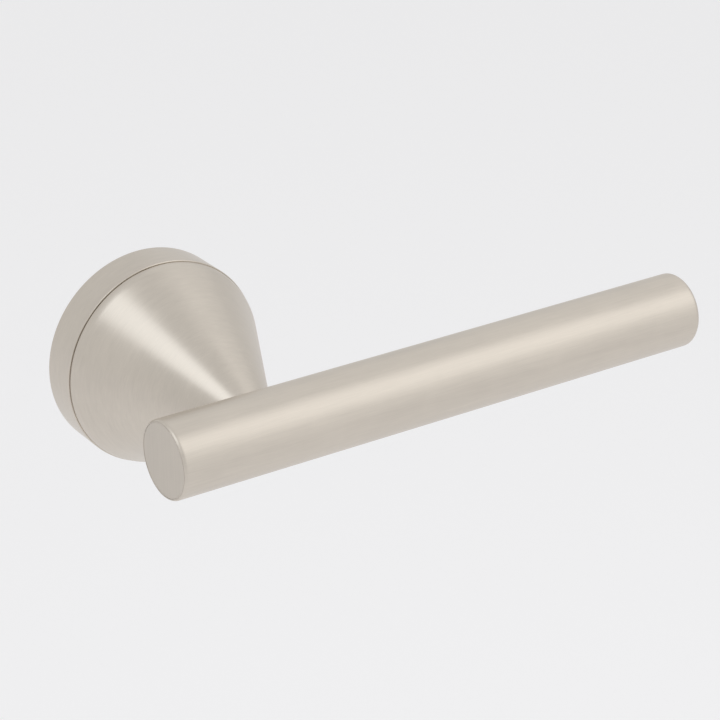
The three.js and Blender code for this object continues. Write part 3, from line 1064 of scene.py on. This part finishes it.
def black_oxide():
    """Blackened steel, with a thin oil film that leaves it uneven."""
    material, surface = new_material("black_oxide", Metallic=1)
    film = noise(material, grain(material), scale=420, detail=4)
    lines = noise(material, grain(material, 300, 5200, 300), detail=3)
    both = blend_values(material, film, lines, 0.4)
    color = tint(material, both, (0.075, 0.077, 0.082), (0.135, 0.132, 0.128))
    connect(material, surface, color, spread(material, both, 0.3, 0.5), lines, 2.5e-6)
    return material


def spring_wire():
    """Drawn wire, lightly oiled."""
    material, surface = new_material(
        "spring_wire", Metallic=1, Coat_Weight=0.25, Coat_Roughness=0.15
    )
    drawn = noise(material, grain(material, 1200, 5200, 1200), detail=4)
    heat = noise(material, grain(material), scale=240, detail=2)
    mottle = blend_values(material, drawn, heat, 0.5)
    color = tint(material, mottle, (0.36, 0.34, 0.32), (0.48, 0.46, 0.44))
    connect(material, surface, color, spread(material, drawn, 0.22, 0.38), drawn, 2e-6)
    return material


def acetal():
    """Off-white moulded plastic, slightly cloudy, with a fine matt mould texture."""
    material, surface = new_material(
        "acetal", Subsurface_Weight=0.15, Subsurface_Scale=0.0015, IOR=1.48
    )
    cloud = noise(material, grain(material), scale=130, detail=2)
    texture = noise(material, grain(material), scale=3800, detail=2)
    color = tint(material, cloud, (0.79, 0.78, 0.735), (0.85, 0.84, 0.805))
    connect(material, surface, color, spread(material, texture, 0.36, 0.5), texture, 6e-6)
    return material


def rubber():
    """Black rubber with a dry, dusty skin."""
    material, surface = new_material("rubber", IOR=1.5, Sheen_Weight=0.15, Sheen_Roughness=0.5)
    dust = noise(material, grain(material), scale=700, detail=4)
    pores = noise(material, grain(material), scale=4200, detail=2)
    color = tint(material, dust, (0.014, 0.014, 0.014), (0.034, 0.033, 0.032))
    connect(material, surface, color, spread(material, dust, 0.6, 0.82), pores, 8e-6)
    return material


# ---- assembly ----

SLOT_OF = {part["node"]: part["material_slot"] for part in frame["record"]["subparts"]}
ROUND, LONG, FACE_PAINTED_SHADE = nickel_round(), nickel_long(), nickel_face_painted_shade()
FINISHES = {
    "satin_nickel": ROUND,
    "cast_zinc": cast_zinc(),
    "steel": plated_steel(),
    "black_steel": black_oxide(),
    "spring_steel": spring_wire(),
    "acetal": acetal(),
    "rubber": rubber(),
}


def dress(piece, node, material=None):
    """Gives the piece its material, by default the finish of its node's slot, and hides that CAD
    node.
    """
    slot = SLOT_OF[node]
    piece.data.materials.clear()
    piece.data.materials.append(material or FINISHES[slot])
    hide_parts(node)
    return piece


def fit(piece, body, node, material=None):
    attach(dress(piece, node, material), body)


for name, node in frame["nodes"].items():
    node.data.materials.clear()
    node.data.materials.append(FINISHES[SLOT_OF[name]])

fit(build_neck(), "lever", "conical_neck")
fit(build_bar(), "lever", "lever_bar", LONG)
# Both end caps carry the darker nickel with painted shade on their faces.
fit(build_end_cap("near_cap", "near_end_cap", -1), "lever", "near_end_cap", FACE_PAINTED_SHADE)
fit(build_end_cap("free_cap", "free_end_cap", 1), "lever", "free_end_cap", FACE_PAINTED_SHADE)
fit(build_bar_plug(), "lever", "bar_anchor")
fit(build_neck_screw(), "lever", "neck_bolt")
fit(build_set_screw(), "lever", "grub_screw")
fit(build_sleeve(), "lever", "hub_sleeve")
fit(build_spindle(), "lever", "spindle")
fit(build_driver(), "lever", "spring_driver")
fit(build_clip(), "lever", "driver_clip")
fit(build_wave_ring(), "lever", "wave_washer")
fit(build_rose_ring(), "rose", "rose_ring")
fit(build_plate(), "rose", "mounting_plate")
fit(build_seal(), "rose", "grip_ring")
fit(build_lid(), "rose", "spring_cover")
fit(build_bush(), "rose", "bearing_bush")
fit(build_post("post_right", 0), "rose", "threaded_post_right")
fit(build_post("post_left", 180), "rose", "threaded_post_left")
fit(build_lid_screw("lid_screw_top", "cover_screw_top", 90), "rose", "cover_screw_top")
fit(build_lid_screw("lid_screw_bottom", "cover_screw_bottom", 270), "rose", "cover_screw_bottom")
# The coil runs between its back end, 3.8 mm out from the door, and its front end, 7.1 mm out.
spring = dress(build_spring(), "torsion_spring")
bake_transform(spring)

# ---- floor, light and camera ----

FLOOR_Z, FLOOR_HALF = -0.6, 20  # metres; low and wide enough for views from below and the side
LIGHT_TARGET, LIGHT_DISTANCE = Vector((0.04, -0.03, 0)), 1.2  # metres


def build_floor():
    bm = bmesh.new()
    corners = [(-1, -1), (1, -1), (1, 1), (-1, 1)]
    bm.faces.new([bm.verts.new((x * FLOOR_HALF, y * FLOOR_HALF, FLOOR_Z)) for x, y in corners])
    floor = new_piece("floor", bm)
    material, _ = new_material(
        "pale_floor",
        Base_Color=(0.9, 0.898, 0.908, 1),
        Roughness=0.9,
        Emission_Color=(1, 1, 1, 1),
        Emission_Strength=0.11,
    )
    floor.data.materials.append(material)


def soft_light(name, azimuth, elevation, size, power, color=(1, 1, 1)):
    """A square softbox that shines on the handle; azimuth 0 is in front of it."""
    light = bpy.data.lights.new(name, "AREA")
    light.shape = "SQUARE"
    light.size = size
    light.energy = power
    light.color = color
    lamp = bpy.data.objects.new(name, light)
    a, e = math.radians(azimuth), math.radians(elevation)
    direction = Vector((math.sin(a) * math.cos(e), -math.cos(a) * math.cos(e), math.sin(e)))
    lamp.location = LIGHT_TARGET + direction * LIGHT_DISTANCE
    lamp.rotation_euler = direction.to_track_quat("Z", "Y").to_euler()
    bpy.context.scene.collection.objects.link(lamp)


def build_world(strength):
    world = bpy.data.worlds.new("studio")
    bpy.context.scene.world = world
    world.use_nodes = True
    background = world.node_tree.nodes["Background"]
    background.inputs["Color"].default_value = (1, 1, 1, 1)
    background.inputs["Strength"].default_value = strength


CAMERA_AZIMUTH = math.radians(-34.2)
CAMERA_ELEVATION = math.radians(25.08)
CAMERA_ROLL = math.radians(0.1)
CAMERA_DISTANCE = 620.6  # millimetres from the point that it looks at
CAMERA_RIGHT, CAMERA_UP = -5.16, -3.15  # that point, from the middle of the handle
CAMERA_LENS = 126.63


def build_camera():
    """The photo's viewing angle: first the direction, then the roll about it."""
    a, e = CAMERA_AZIMUTH, CAMERA_ELEVATION
    back = Vector((math.sin(a) * math.cos(e), -math.cos(a) * math.cos(e), math.sin(e)))
    right = Vector((math.cos(a), math.sin(a), 0))
    up = back.cross(right)
    roll = Matrix.Rotation(CAMERA_ROLL, 3, back)
    right, up = roll @ right, roll @ up
    centre = Vector(((BAR_NEAR + BAR_FAR) / 2, -(BAR_OUT + BAR_RADIUS) / 2, 0))
    place = centre + right * CAMERA_RIGHT + up * CAMERA_UP + back * CAMERA_DISTANCE
    data = bpy.data.cameras.new("camera")
    data.lens = CAMERA_LENS
    data.sensor_width = 36
    camera = bpy.data.objects.new("camera", data)
    facing = Matrix((right, up, back)).transposed().to_4x4()
    camera.matrix_world = Matrix.Translation(place * MM) @ facing
    bpy.context.scene.collection.objects.link(camera)
    bpy.context.scene.camera = camera


build_floor()
build_world(strength=0.78)
soft_light("key", azimuth=46, elevation=43, size=0.9, power=1.55)
soft_light("side", azimuth=-76, elevation=58, size=0.65, power=1.2, color=(0.94, 1, 1.06))
soft_light("behind", azimuth=125, elevation=45, size=0.9, power=0.35)
soft_light("low", azimuth=30, elevation=8, size=0.7, power=0.3)
build_camera()
bpy.context.scene.view_settings.view_transform = "Standard"
